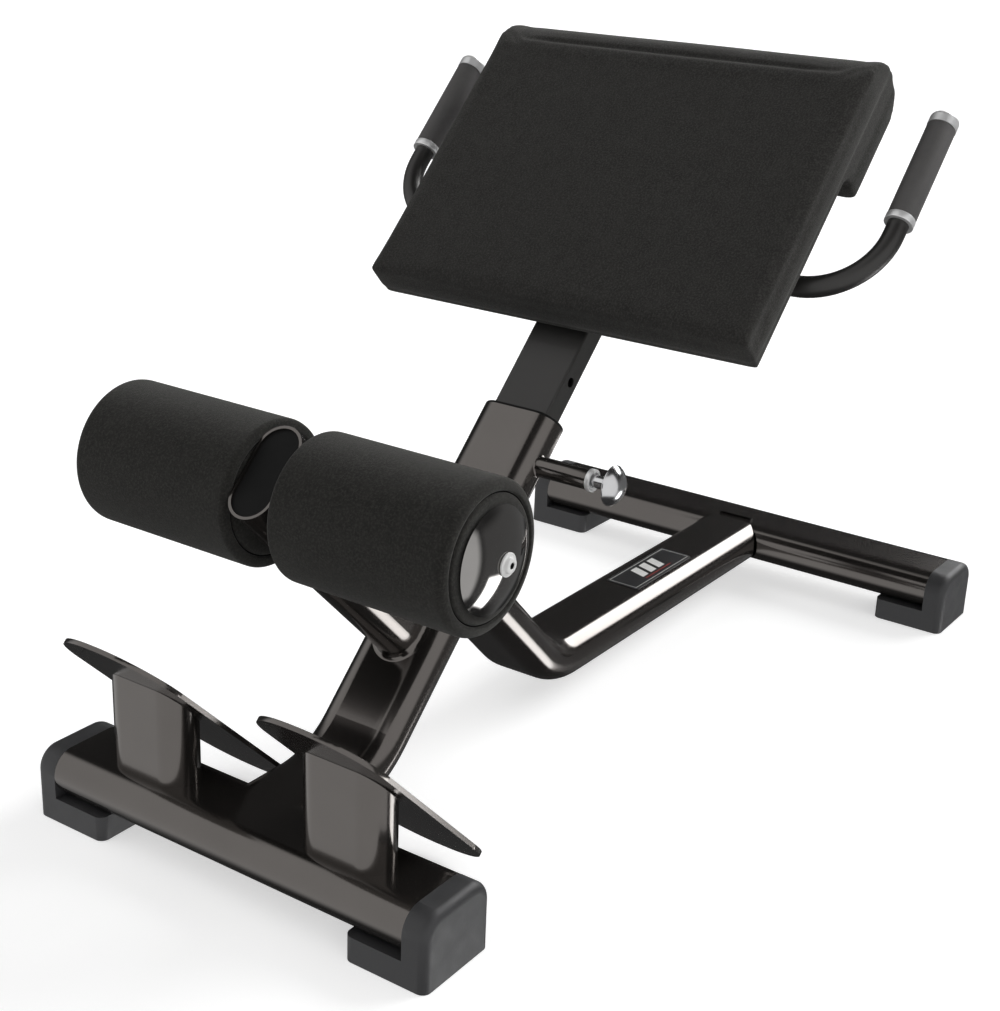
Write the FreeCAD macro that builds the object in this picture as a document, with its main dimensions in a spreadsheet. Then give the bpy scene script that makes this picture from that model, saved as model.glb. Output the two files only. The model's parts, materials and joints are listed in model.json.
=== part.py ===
"""Roman chair: a 45 degree back-extension bench, in millimetres.

Frame: the origin is on the floor, at the middle of the length and on the centre plane.
+X points from the foot plates to the pad, +Y to the left, +Z up.

Most of the bench leans back at 45 degrees. Those pieces are drawn in a leaning frame
whose origin is on the floor at the front feet: "along" runs up the spine, "off" stands
square to it, up and forward.
"""
import FreeCAD, Part
import math
import os
import re

import Sketcher
from FreeCAD import Placement, Rotation, Vector

DIMENSIONS = {
    # feet and crossbars
    "length_overall": 1240,
    "front_half": 268.5,
    "rear_half": 348.5,
    "cap_deep": 106,
    "cap_tall": 82,
    "cap_long": 100,
    "cap_wall": 29,
    "cap_round": 26,
    "cap_end_round": 10,
    "flange_tall": 29,
    "flange_round": 10,
    "plug_long": 25,
    "plug_gap": 0.3,
    "screw_spread": 48,
    "screw_radius": 4,
    "screw_head": 7,
    "screw_head_tall": 4,
    "screw_head_clear": 0.5,
    "screw_recess": 8,
    # flat oval tube
    "tube_wide": 106,
    "tube_thick": 53,
    "tube_wall": 3,
    "tube_rise": 55.5,
    # spine, lower tube and roller strut
    "spine_off": 103.6,
    "spine_top": 651,
    "spine_bend": 130,
    "leg_along": 442,
    "leg_bend": 105,
    "strut_along": 371.5,
    "strut_top": 256,
    "plug_sunk": 3,
    "plug_thick": 12,
    # foot posts and plates
    "foot_spread": 133.5,
    "foot_post_x": 53,
    "plate_along": 156,
    "plate_thick": 5,
    "plate_low": 142,
    "plate_high": 206,
    "plate_wide": 150,
    "plate_round": 72,
    # rollers and their axle
    "axle_along": 373.8,
    "roller_off": 193.3,
    "roller_radius": 79.3,
    "roller_inner": 26.8,
    "roller_outer": 240,
    "roller_round": 9,
    "core_radius": 30,
    "core_wall": 3,
    "core_short": 1,
    "end_play": 0.3,
    "bush_long": 15,
    "axle_radius": 10,
    "axle_half": 255,
    "running_gap": 0.05,
    "spacer_radius": 14,
    "dome_radius": 54,
    "dome_rim": 243,
    "dome_crown": 257,
    "dome_curve": 111,
    "dome_wall": 2,
    "washer_radius": 12,
    "washer_thick": 2,
    "bolt_radius": 4,
    "bolt_deep": 24,
    "bolt_head_radius": 8,
    "bolt_head_tall": 4,
    "socket_radius": 3,
    "socket_floor": 1,
    # sliding post
    "post_wide": 75,
    "post_thick": 32,
    "post_wall": 2.5,
    "post_bottom": 497,
    "post_top": 1030,
    "post_plug": 20,
    "slide_gap": 0.3,
    "bush_rim": 3,
    "spine_bush_long": 150,
    # pop-pin
    "pin_along": 597,
    "hole_first": 540,
    "hole_pitch": 57,
    "hole_count": 4,
    "pin_hole": 6.2,
    "pin_hole_clear": 0.3,
    "pin_radius": 5.8,
    "pin_tip": 40,
    "pin_chamfer": 1.5,
    "shoulder": 72,
    "shoulder_thick": 4,
    "shoulder_clear": 0.3,
    "barrel_radius": 12.2,
    "barrel_bore": 10,
    "barrel_end": 120,
    "collar_radius": 13.4,
    "collar_thick": 6,
    "collar_bore": 10.4,
    "collar_recess": 3.5,
    "collar_spigot": 2,
    "rod_radius": 7.5,
    "knob_inner": 143,
    "knob_tall": 22,
    "knob_radius": 24,
    "knob_neck": 11,
    "knob_flare": 6,
    "knob_rim": 2.8,
    "knob_rim_round": 2,
    "knob_rim_inset": 0.6,
    "knob_crown": 28,
    "spring_radius": 8.75,
    "spring_wire": 0.9,
    "spring_turns": 8,
    "spring_gap": 1,
    # pad
    "pad_start": 773,
    "pad_long": 420,
    "pad_step": 267,
    "pad_face": 34,
    "pad_thin": 53.6,
    "pad_deep": 96,
    "pad_half": 261,
    "pad_end_round": 47.5,
    "board_thick": 12,
    "board_margin": 12,
    # brackets and bolts behind the pad
    "bracket_leg": 35,
    "bracket_wall": 4,
    "bracket_start": 797,
    "bracket_long": 226,
    "pad_bolt_inset": 25,
    "pad_bolt_radius": 4,
    "pad_bolt_head": 6.5,
    "pad_bolt_head_tall": 5,
    # handle bar and grips
    "handle_along": 895.5,
    "handle_radius": 12.7,
    "handle_wall": 2.5,
    "handle_bend": 88,
    "handle_half": 340,
    "handle_tip": 1146,
    "collar_start": 999,
    "grip_start": 1008,
    "grip_end": 1138,
    "grip_radius": 17.25,
    "grip_metal_radius": 17.7,
    "grip_cap_long": 16,
    "grip_cap_round": 6,
    # plain plate on the lower tube
    "name_plate_x": 872,
    "name_plate_long": 152,
    "name_plate_wide": 50,
    "name_plate_thick": 1,
    "name_plate_round": 4,
}

WORD = re.compile(r"[A-Za-z_]\w*")

# front face of the front feet, and the leaning frame's height and reach, as expressions
FRONT = "-(length_overall / 2 - (plate_high - plate_along) * sqrt(0.5))"
REAR_BAR = "length_overall / 2 - cap_deep / 2"
FRONT_BAR = f"{FRONT} + cap_deep / 2"
REAR_BAR_FROM_FRONT = f"{REAR_BAR} - ({FRONT})"
LEAN = -45

doc = FreeCAD.newDocument("roman_chair")
sheet = doc.addObject("Spreadsheet::Sheet", "dims")
for row, (word, value) in enumerate(DIMENSIONS.items(), start=1):
    sheet.set(f"A{row}", word)
    sheet.set(f"B{row}", str(value))
    sheet.setAlias(f"B{row}", word)
doc.recompute()


# ---------------------------------------------------------------- expressions

def terms(expression):
    """Point every driving dimension in an expression at the sheet."""
    return WORD.sub(lambda m: f"dims.{m[0]}" if m[0] in DIMENSIONS else m[0], str(expression))


def number(expression):
    return float(sheet.evalExpression(terms(expression)))


def bind(thing, prop, expression):
    thing.setExpression(prop, terms(expression))


def place(thing, x="0", y="0", z="0", axis=Vector(0, 0, 1), angle=0):
    """Place a sub-part at bound coordinates, turned about an axis."""
    base = Vector(number(x), number(y), number(z))
    thing.Placement = Placement(base, Rotation(axis, angle))
    for letter, expression in zip("xyz", (x, y, z)):
        bind(thing, f"Placement.Base.{letter}", expression)


def place_level(thing, x="0", y="0", z="0"):
    """Level pieces are drawn from the front feet's front face."""
    place(thing, f"{FRONT} + {x}", y, z)


def place_leaning(thing, along="0", off="0", y="0"):
    """Leaning pieces: local X runs up the spine and local Z stands square to it."""
    x = f"{FRONT} + (({along}) - ({off})) * sqrt(0.5)"
    z = f"(({along}) + ({off})) * sqrt(0.5)"
    place(thing, x, y, z, Vector(0, 1, 0), LEAN)


# ---------------------------------------------------------------- sketches

def new_body(label):
    body = doc.addObject("PartDesign::Body", label)
    body.Label = label
    return body


def new_sketch(body, role, offset="0", lean=0):
    """A sketch on one of the body's origin planes, moved along its normal by offset."""
    sketch = body.newObject("Sketcher::SketchObject", f"{body.Name}_{role[:2].lower()}")
    plane = next(f for f in body.Origin.OriginFeatures if f.Role == role)
    sketch.AttachmentSupport = [(plane, "")]
    sketch.MapMode = "FlatFace"
    turn = Rotation(Vector(1, 0, 0), lean)
    sketch.AttachmentOffset = Placement(Vector(0, 0, number(offset)), turn)
    bind(sketch, "AttachmentOffset.Base.z", offset)
    return sketch


def pin_down(sketch, geometry, constraints, bound):
    """Add geometry and constraints, then bind the measures to the sheet."""
    sketch.addGeometry(geometry, False)
    start = sketch.ConstraintCount + len(constraints)
    made = [Sketcher.Constraint(kind, *rest) for kind, *rest in constraints]
    for kind, args, expression in bound:
        made.append(Sketcher.Constraint(kind, *args, number(expression)))
    sketch.addConstraint(made)
    for k, (kind, args, expression) in enumerate(bound):
        bind(sketch, f"Constraints[{start + k}]", expression)


def from_origin(geometry, point, x, y):
    """Two bound measures that hold a point at (x, y)."""
    return [("DistanceX", (-1, 1, geometry, point), x), ("DistanceY", (-1, 1, geometry, point), y)]


def circle(sketch, x, y, radius):
    g = sketch.GeometryCount
    shape = Part.Circle(Vector(number(x), number(y), 0), Vector(0, 0, 1), number(radius))
    bound = from_origin(g, 3, x, y) + [("Radius", (g,), radius)]
    pin_down(sketch, [shape], [], bound)


def obround(sketch, wide, thick, x="0", y="0", upright=False):
    """Two half-circles joined by straight sides, along the sketch's X, or Y if upright."""
    g = sketch.GeometryCount
    reach, radius = f"(({wide}) - ({thick})) / 2", f"({thick}) / 2"
    a, r = number(reach), number(radius)
    middle = Vector(number(x), number(y), 0)
    turn = Rotation(Vector(0, 0, 1), 90 if upright else 0)
    spin = math.pi / 2 if upright else 0

    def at(dx, dy):
        return middle + turn.multVec(Vector(dx, dy, 0))

    up = Vector(0, 0, 1)
    shapes = [
        Part.ArcOfCircle(Part.Circle(at(a, 0), up, r), spin - math.pi / 2, spin + math.pi / 2),
        Part.LineSegment(at(a, r), at(-a, r)),
        Part.ArcOfCircle(Part.Circle(at(-a, 0), up, r), spin + math.pi / 2, spin + math.pi * 1.5),
        Part.LineSegment(at(-a, -r), at(a, -r)),
    ]
    joints = [("Tangent", g + k, 2, g + (k + 1) % 4, 1) for k in range(4)]
    joints.append(("Equal", g, g + 2))
    if upright:
        ends = from_origin(g, 3, x, f"({y}) + {reach}") + from_origin(g + 2, 3, x, f"({y}) - {reach}")
    else:
        ends = from_origin(g, 3, f"({x}) + {reach}", y) + from_origin(g + 2, 3, f"({x}) - {reach}", y)
    pin_down(sketch, shapes, joints, ends + [("Radius", (g,), radius)])


def arc_between(start, end, radius, left):
    """The short arc of a radius from start to end, its centre to the left or right."""
    chord = end - start
    middle = (start + end) * 0.5
    side = Vector(-chord.y, chord.x, 0)
    side.normalize()
    rise = math.sqrt(max(radius ** 2 - (chord.Length / 2) ** 2, 0))
    centre = middle + side * (rise if left else -rise)
    first, last = (start, end) if left else (end, start)
    angles = [math.atan2(p.y - centre.y, p.x - centre.x) for p in (first, last)]
    if angles[1] < angles[0]:
        angles[1] += 2 * math.pi
    return Part.ArcOfCircle(Part.Circle(centre, Vector(0, 0, 1), radius), *angles)


def outline(sketch, points, closed=True):
    """A chain of lines and arcs through bound points.

    A point is (x, y), or (x, y, radius, side) where the run that leaves it is an arc
    with its centre on that side.
    """
    g = sketch.GeometryCount
    places = [Vector(number(p[0]), number(p[1]), 0) for p in points]
    runs = len(points) if closed else len(points) - 1
    shapes, ends, bound = [], [], []
    for k in range(runs):
        start, end = places[k], places[(k + 1) % len(points)]
        if len(points[k]) == 4:
            left = points[k][3] == "left"
            shapes.append(arc_between(start, end, number(points[k][2]), left))
            ends.append((1, 2) if left else (2, 1))
            bound.append(("Radius", (g + k,), points[k][2]))
        else:
            shapes.append(Part.LineSegment(start, end))
            ends.append((1, 2))
    joints = []
    for k in range(runs if closed else runs - 1):
        after = (k + 1) % runs
        joints.append(("Coincident", g + k, ends[k][1], g + after, ends[after][0]))
    for k in range(runs):
        bound += from_origin(g + k, ends[k][0], *points[k][:2])
    if not closed:
        bound += from_origin(g + runs - 1, ends[-1][1], *points[-1][:2])
    pin_down(sketch, shapes, joints, bound)


def box_outline(sketch, x0, x1, y0, y1):
    outline(sketch, [(x0, y0), (x1, y0), (x1, y1), (x0, y1)])


# ---------------------------------------------------------------- features

def pad(body, sketch, length, symmetric=False, backwards=False):
    feature = body.newObject("PartDesign::Pad", f"{body.Name}_pad")
    feature.Profile = sketch
    bind(feature, "Length", length)
    feature.SideType = "Symmetric" if symmetric else "One side"
    feature.Reversed = backwards
    doc.recompute()
    return feature


def pocket(body, sketch, length=None, backwards=False):
    """A cut; with no length it goes through the whole body both ways."""
    before = body.Shape.Volume
    feature = body.newObject("PartDesign::Pocket", f"{body.Name}_pocket")
    feature.Profile = sketch
    if length is None:
        feature.SideType = "Symmetric"
        feature.Type = "ThroughAll"
    else:
        bind(feature, "Length", length)
    feature.Reversed = backwards
    doc.recompute()
    if not body.Shape.Volume < before:
        raise RuntimeError(f"{body.Label}: {feature.Label} cuts nothing")
    return feature


def revolve(body, sketch, axis="V_Axis"):
    feature = body.newObject("PartDesign::Revolution", f"{body.Name}_turned")
    feature.Profile = sketch
    feature.ReferenceAxis = (sketch, [axis])
    feature.Angle = 360
    doc.recompute()
    return feature


def sweep(body, profile, path):
    feature = body.newObject("PartDesign::AdditivePipe", f"{body.Name}_swept")
    feature.Profile = profile
    feature.Spine = (path, [f"Edge{k + 1}" for k in range(len(path.Geometry))])
    doc.recompute()
    return feature


def round_edges(body, radius, chosen):
    """Fillet the edges of the body's tip whose own test is true."""
    tip = body.Tip
    names = [f"Edge{k}" for k, edge in enumerate(tip.Shape.Edges, start=1) if chosen(edge)]
    feature = body.newObject("PartDesign::Fillet", f"{body.Name}_round")
    feature.Base = (tip, names)
    bind(feature, "Radius", radius)
    doc.recompute()
    return feature


def runs_along(edge, letter):
    """True where an edge is straight and parallel to one axis."""
    sizes = {"x": edge.BoundBox.XLength, "y": edge.BoundBox.YLength, "z": edge.BoundBox.ZLength}
    return sizes.pop(letter) > 0.5 and max(sizes.values()) < 0.01


# ---------------------------------------------------------------- crossbars and feet

TUBE_IN_WIDE = "tube_wide - 2 * tube_wall"
TUBE_IN_THICK = "tube_thick - 2 * tube_wall"


def make_crossbar(label, centre, half):
    """A flat oval tube across the floor, with a screw hole over each foot."""
    body = new_body(label)
    place(body, centre)
    section = new_sketch(body, "XZ_Plane")
    obround(section, "tube_wide", "tube_thick", "0", "tube_rise")
    obround(section, TUBE_IN_WIDE, TUBE_IN_THICK, "0", "tube_rise")
    pad(body, section, f"2 * ({half} - cap_wall)", symmetric=True)
    holes = new_sketch(body, "XY_Plane", "tube_rise")
    for side in ("", "-"):
        circle(holes, "0", f"{side}({half} - cap_wall - screw_spread)", "screw_radius")
    pocket(body, holes, "tube_thick")


def make_foot_cap(label, centre, half, turn):
    """A moulded foot: end wall, flange under the tube and a plug inside it."""
    body = new_body(label)
    place(body, centre, "0", "0", Vector(0, 0, 1), turn)
    inner = f"{half} - cap_wall"
    block = new_sketch(body, "XZ_Plane", f"-({half})")
    box_outline(block, "-cap_deep / 2", "cap_deep / 2", "0", "cap_tall")
    pad(body, block, "cap_long")
    top = number("cap_tall")
    round_edges(body, "cap_round", lambda e: runs_along(e, "y") and abs(e.BoundBox.ZMax - top) < 0.1)
    end = number(half)
    round_edges(body, "cap_end_round", lambda e: e.BoundBox.YMin > end - 0.1 and e.BoundBox.ZMax > 1)
    step = new_sketch(body, "XZ_Plane", f"-({inner})")
    box_outline(step, "-cap_deep", "cap_deep", "flange_tall", "cap_tall * 2")
    pocket(body, step, "cap_long", backwards=True)
    tip = number(f"{half} - cap_long")
    round_edges(body, "flange_round", lambda e: runs_along(e, "z") and abs(e.BoundBox.YMax - tip) < 0.1)
    plug = new_sketch(body, "XZ_Plane", f"-({inner})")
    obround(plug, f"{TUBE_IN_WIDE} - 2 * plug_gap", f"{TUBE_IN_THICK} - 2 * plug_gap", "0", "tube_rise")
    pad(body, plug, "plug_long")
    recess = new_sketch(body, "XY_Plane")
    circle(recess, "0", f"{inner} - screw_spread", "screw_head + screw_head_clear")
    pocket(body, recess, "screw_recess", backwards=True)
    hole = new_sketch(body, "XY_Plane")
    circle(hole, "0", f"{inner} - screw_spread", "screw_radius")
    pocket(body, hole, "flange_tall + 1", backwards=True)


def upright_screw(label, x, y, base, head_radius, head_tall, shank_radius, shank_long):
    """A pan-head screw standing head down, as one fused solid."""
    head = doc.addObject("Part::Cylinder", f"{label}_head")
    bind(head, "Radius", head_radius)
    bind(head, "Height", head_tall)
    place(head, x, y, base)
    shank = doc.addObject("Part::Cylinder", f"{label}_shank")
    bind(shank, "Radius", shank_radius)
    bind(shank, "Height", shank_long)
    place(shank, x, y, f"{base} + {head_tall}")
    screw = doc.addObject("Part::Fuse", label)
    screw.Base = head
    screw.Tool = shank
    return screw


def group(label, pieces):
    """Several identical fasteners as one node of separate solids."""
    bundle = doc.addObject("Part::Compound", label)
    bundle.Label = label
    bundle.Links = pieces
    doc.recompute()
    return bundle


def make_feet():
    screws = []
    for end, centre, half in (("front", FRONT_BAR, "front_half"), ("rear", REAR_BAR, "rear_half")):
        make_crossbar(f"{end}_crossbar", centre, half)
        for side, sign, turn in (("left", "", 0), ("right", "-", 180)):
            make_foot_cap(f"foot_cap_{end}_{side}", centre, half, turn)
            y = f"{sign}({half} - cap_wall - screw_spread)"
            screws.append(upright_screw(
                f"screw_{end}_{side}", centre, y, "screw_recess - screw_head_tall",
                "screw_head", "screw_head_tall", "screw_radius", "flange_tall",
            ))
    group("foot_screws", screws)


# ---------------------------------------------------------------- spine, lower tube, strut

SPINE_FOOT = "spine_off * sqrt(2)"          # where the leaning centreline would meet the floor
BAR_SIDE = "cap_deep / 2 + tube_wide / 2 - tube_thick / 2"


def bent_path(sketch, start_x, level, corner_x, bend, leg):
    """A level run, a 45 degree bend and a leaning run, as a bound chain.

    leg is (run, rise), both to the far end from the corner; the level run comes from start_x.
    """
    reach = f"{bend} * tan(22.5)"
    run, rise = leg
    ahead = 1 if number(start_x) < number(corner_x) else -1
    side = "left" if ahead > 0 else "right"
    outline(sketch, [
        (start_x, level),
        (f"{corner_x} - {ahead} * {reach}", level, bend, side),
        (f"{corner_x} + {ahead} * {reach} * sqrt(0.5)", f"{level} + {reach} * sqrt(0.5)"),
        (f"{corner_x} + {run}", f"{level} + {rise}"),
    ], closed=False)


def tube_section(body, role, offset, y="0"):
    """The flat oval section, lying across the body, as an outer and an inner ring."""
    section = new_sketch(body, role, offset)
    obround(section, "tube_wide", "tube_thick", "0", y)
    obround(section, TUBE_IN_WIDE, TUBE_IN_THICK, "0", y)
    return section


def make_spine():
    body = new_body("spine_tube")
    place_level(body)
    corner = f"tube_rise + {SPINE_FOOT}"
    top = f"(spine_top + spine_off) * sqrt(0.5) - ({corner})"
    path = new_sketch(body, "XZ_Plane")
    bent_path(path, BAR_SIDE, "tube_rise", corner, "spine_bend", (top, top))
    sweep(body, tube_section(body, "YZ_Plane", BAR_SIDE, "tube_rise"), path)
    cope = new_sketch(body, "XZ_Plane")
    circle(cope, BAR_SIDE, "tube_rise", "tube_thick / 2")
    pocket(body, cope)
    pin_hole = new_sketch(body, "XZ_Plane")
    circle(pin_hole, "(pin_along + spine_off) * sqrt(0.5)", "(pin_along - spine_off) * sqrt(0.5)",
           "pin_hole + pin_hole_clear")
    pocket(body, pin_hole, "tube_wide", backwards=True)


def make_lower_tube():
    body = new_body("lower_tube")
    place_level(body)
    start = f"{REAR_BAR_FROM_FRONT} - (tube_wide - tube_thick) / 2"
    corner = f"(leg_along * 2) * sqrt(0.5) - tube_rise"
    rise = "(leg_along - spine_off) * sqrt(0.5) - tube_rise"
    path = new_sketch(body, "XZ_Plane")
    bent_path(path, start, "tube_rise", corner, "leg_bend", (f"-({rise})", rise))
    sweep(body, tube_section(body, "YZ_Plane", start, "tube_rise"), path)
    rear_cope = new_sketch(body, "XZ_Plane")
    circle(rear_cope, start, "tube_rise", "tube_thick / 2")
    pocket(body, rear_cope)
    spine_cope = new_sketch(body, "YZ_Plane", "0", LEAN)
    obround(spine_cope, "tube_wide", "tube_thick", "0", "-spine_off")
    pocket(body, spine_cope)


def make_strut():
    body = new_body("roller_strut")
    place_leaning(body, "strut_along")
    base = "-spine_off + tube_thick / 2"
    section = new_sketch(body, "XY_Plane", base)
    obround(section, "tube_wide", "tube_thick")
    obround(section, TUBE_IN_WIDE, TUBE_IN_THICK)
    pad(body, section, f"strut_top - ({base})")
    hole = new_sketch(body, "XZ_Plane")
    circle(hole, "axle_along - strut_along", "roller_off", "axle_radius")
    pocket(body, hole)

    plug = new_body("strut_plug")
    place_leaning(plug, "strut_along", "strut_top - plug_sunk - plug_thick")
    shape = new_sketch(plug, "XY_Plane")
    obround(shape, TUBE_IN_WIDE, TUBE_IN_THICK)
    pad(plug, shape, "plug_thick")


# ---------------------------------------------------------------- foot posts and plates

def make_foot_rest(side, sign):
    post = new_body(f"foot_post_{side}")
    place_level(post, "foot_post_x", f"{sign}foot_spread")
    section = new_sketch(post, "XY_Plane", "tube_rise + tube_thick / 2")
    obround(section, "tube_wide", "tube_thick", upright=True)
    obround(section, TUBE_IN_WIDE, TUBE_IN_THICK, upright=True)
    pad(post, section, "plate_along")
    slope = "plate_along * sqrt(2) - foot_post_x"
    above = new_sketch(post, "XZ_Plane")
    outline(above, [
        ("-tube_thick", f"{slope} + tube_thick"),
        ("tube_thick", f"{slope} - tube_thick"),
        ("tube_thick", f"{slope} + 2 * tube_wide"),
        ("-tube_thick", f"{slope} + 2 * tube_wide"),
    ])
    pocket(post, above)

    plate = new_body(f"foot_plate_{side}")
    place_leaning(plate, "plate_along", "0", f"{sign}foot_spread")
    shape = new_sketch(plate, "YZ_Plane")
    box_outline(shape, "-plate_wide / 2", "plate_wide / 2", "-plate_low", "plate_high")
    pad(plate, shape, "plate_thick")
    round_edges(plate, "plate_round", lambda e: runs_along(e, "x"))


# ---------------------------------------------------------------- sliding post and its guide

def make_spine_bush():
    """A plastic guide in the spine's open end, with a rim over the tube's edge."""
    body = new_body("spine_bush")
    place_leaning(body, "spine_top", "-spine_off")
    sleeve = new_sketch(body, "YZ_Plane")
    obround(sleeve, TUBE_IN_WIDE, TUBE_IN_THICK)
    pad(body, sleeve, "spine_bush_long", backwards=True)
    rim = new_sketch(body, "YZ_Plane")
    obround(rim, "tube_wide", "tube_thick")
    pad(body, rim, "bush_rim")
    way = new_sketch(body, "YZ_Plane")
    half_y, half_z = "post_wide / 2 + slide_gap", "post_thick / 2 + slide_gap"
    box_outline(way, f"-({half_y})", half_y, f"-({half_z})", half_z)
    pocket(body, way)
    hole = new_sketch(body, "XZ_Plane")
    circle(hole, "pin_along - spine_top", "0", "pin_hole + pin_hole_clear")
    pocket(body, hole, "tube_wide", backwards=True)


def make_post():
    body = new_body("pad_post")
    place_leaning(body, "0", "-spine_off")
    section = new_sketch(body, "YZ_Plane", "post_bottom")
    box_outline(section, "-post_wide / 2", "post_wide / 2", "-post_thick / 2", "post_thick / 2")
    pad(body, section, "post_top - post_bottom")
    round_edges(body, "post_wall", lambda e: runs_along(e, "x"))
    bore = new_sketch(body, "YZ_Plane", "post_bottom")
    half_y, half_z = "post_wide / 2 - post_wall", "post_thick / 2 - post_wall"
    box_outline(bore, f"-({half_y})", half_y, f"-({half_z})", half_z)
    pocket(body, bore)
    handle_hole = new_sketch(body, "XZ_Plane")
    circle(handle_hole, "handle_along", "0", "handle_radius")
    pocket(body, handle_hole)
    hole = new_sketch(body, "XZ_Plane")
    circle(hole, "hole_first", "0", "pin_hole")
    first = pocket(body, hole, "post_wide", backwards=True)
    row = body.newObject("PartDesign::LinearPattern", "pad_post_holes")
    row.Originals = [first]
    row.Direction = (hole, ["H_Axis"])
    bind(row, "Length", "hole_pitch * (hole_count - 1)")
    row.Occurrences = int(number("hole_count"))
    bind(row, "Occurrences", "hole_count")
    body.Tip = row
    doc.recompute()

    for end, start in (("lower", "post_bottom"), ("upper", "post_top - post_plug")):
        plug = new_body(f"post_plug_{end}")
        place_leaning(plug, start, "-spine_off")
        shape = new_sketch(plug, "YZ_Plane")
        box_outline(shape, f"-({half_y})", half_y, f"-({half_z})", half_z)
        pad(plug, shape, "post_plug")


# ---------------------------------------------------------------- pop-pin

def place_at_pin(body):
    place_leaning(body, "pin_along", "-spine_off")


def turned(label, points, put, axis="V_Axis", role="XY_Plane"):
    """A body turned about one axis from a closed outline of bound points."""
    body = new_body(label)
    put(body)
    shape = new_sketch(body, role)
    outline(shape, points)
    revolve(body, shape, axis)
    return body


def tube_points(inner, outer, low, high):
    return [(inner, low), (outer, low), (outer, high), (inner, high)]


def make_pop_pin():
    barrel = turned("pop_pin_barrel", tube_points(
        "barrel_bore", "barrel_radius", "-barrel_end", "-tube_wide / 2 + tube_wall",
    ), place_at_pin)
    cope = new_sketch(barrel, "YZ_Plane")
    obround(cope, "tube_wide", "tube_thick")
    pocket(barrel, cope)

    turned("pop_pin_collar", [
        ("rod_radius + running_gap", "-barrel_end - collar_thick + collar_recess"),
        ("collar_bore", "-barrel_end - collar_thick + collar_recess"),
        ("collar_bore", "-barrel_end - collar_thick"),
        ("collar_radius", "-barrel_end - collar_thick"),
        ("collar_radius", "-barrel_end"),
        ("barrel_bore", "-barrel_end"),
        ("barrel_bore", "-barrel_end + collar_spigot"),
        ("rod_radius + running_gap", "-barrel_end + collar_spigot"),
    ], place_at_pin)

    rod_end = "-knob_inner - knob_tall / 2"
    turned("pop_pin_plunger", [
        ("0", "-pin_tip"),
        ("pin_radius - pin_chamfer", "-pin_tip"),
        ("pin_radius", "-pin_tip - pin_chamfer"),
        ("pin_radius", "-shoulder"),
        ("barrel_bore - shoulder_clear", "-shoulder"),
        ("barrel_bore - shoulder_clear", "-shoulder - shoulder_thick"),
        ("rod_radius", "-shoulder - shoulder_thick"),
        ("rod_radius", rod_end),
        ("0", rod_end),
    ], place_at_pin)

    rim = "-knob_inner - knob_flare"
    turned("pop_pin_knob", [
        ("rod_radius", "-knob_inner"),
        ("knob_neck", "-knob_inner"),
        ("knob_radius - knob_rim_inset", rim, "knob_rim_round", "right"),
        ("knob_radius - knob_rim_inset", f"{rim} - knob_rim", "knob_crown", "right"),
        ("0", "-knob_inner - knob_tall"),
        ("0", rod_end),
        ("rod_radius", rod_end),
    ], place_at_pin)

    make_spring()


def make_spring():
    """A coil between the plunger's shoulder and the collar, as tilted half rings of wire."""
    halves = int(number("2 * spring_turns"))
    start = "shoulder + shoulder_thick + spring_gap"
    rise = f"(barrel_end - collar_spigot - spring_gap - ({start})) / (2 * spring_turns)"
    tilt = math.degrees(math.atan2(number(rise) / 2, number("spring_radius")))
    outward = Rotation(Vector(0, 1, 0), LEAN) * Rotation(Vector(1, 0, 0), 90)
    forth = Rotation(Vector(0, 1, 0), tilt)
    back = Rotation(Vector(0, 1, 0), -tilt) * Rotation(Vector(0, 0, 1), 180)
    rings = []
    for k in range(halves):
        ring = doc.addObject("Part::Torus", f"spring_half_{k + 1}")
        bind(ring, "Radius1", f"sqrt(spring_radius ^ 2 + ({rise}) ^ 2 / 4)")
        bind(ring, "Radius2", "spring_wire")
        ring.Angle3 = 180
        place_leaning(ring, "pin_along", "-spine_off", f"-({start}) - {k + 0.5} * {rise}")
        ring.Placement = Placement(ring.Placement.Base, outward * (back if k % 2 else forth))
        rings.append(ring)
    spring = doc.addObject("Part::MultiFuse", "pop_pin_spring")
    spring.Label = "pop_pin_spring"
    spring.Shapes = rings


# ---------------------------------------------------------------- rollers

def make_axle():
    def on_axle(body):
        place_leaning(body, "axle_along", "roller_off")

    tapped = "axle_half - bolt_deep"
    turned("roller_axle", [
        ("0", f"-({tapped})"), ("bolt_radius", f"-({tapped})"),
        ("bolt_radius", "-axle_half"), ("axle_radius", "-axle_half"),
        ("axle_radius", "axle_half"), ("bolt_radius", "axle_half"),
        ("bolt_radius", tapped), ("0", tapped),
    ], on_axle)


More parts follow.
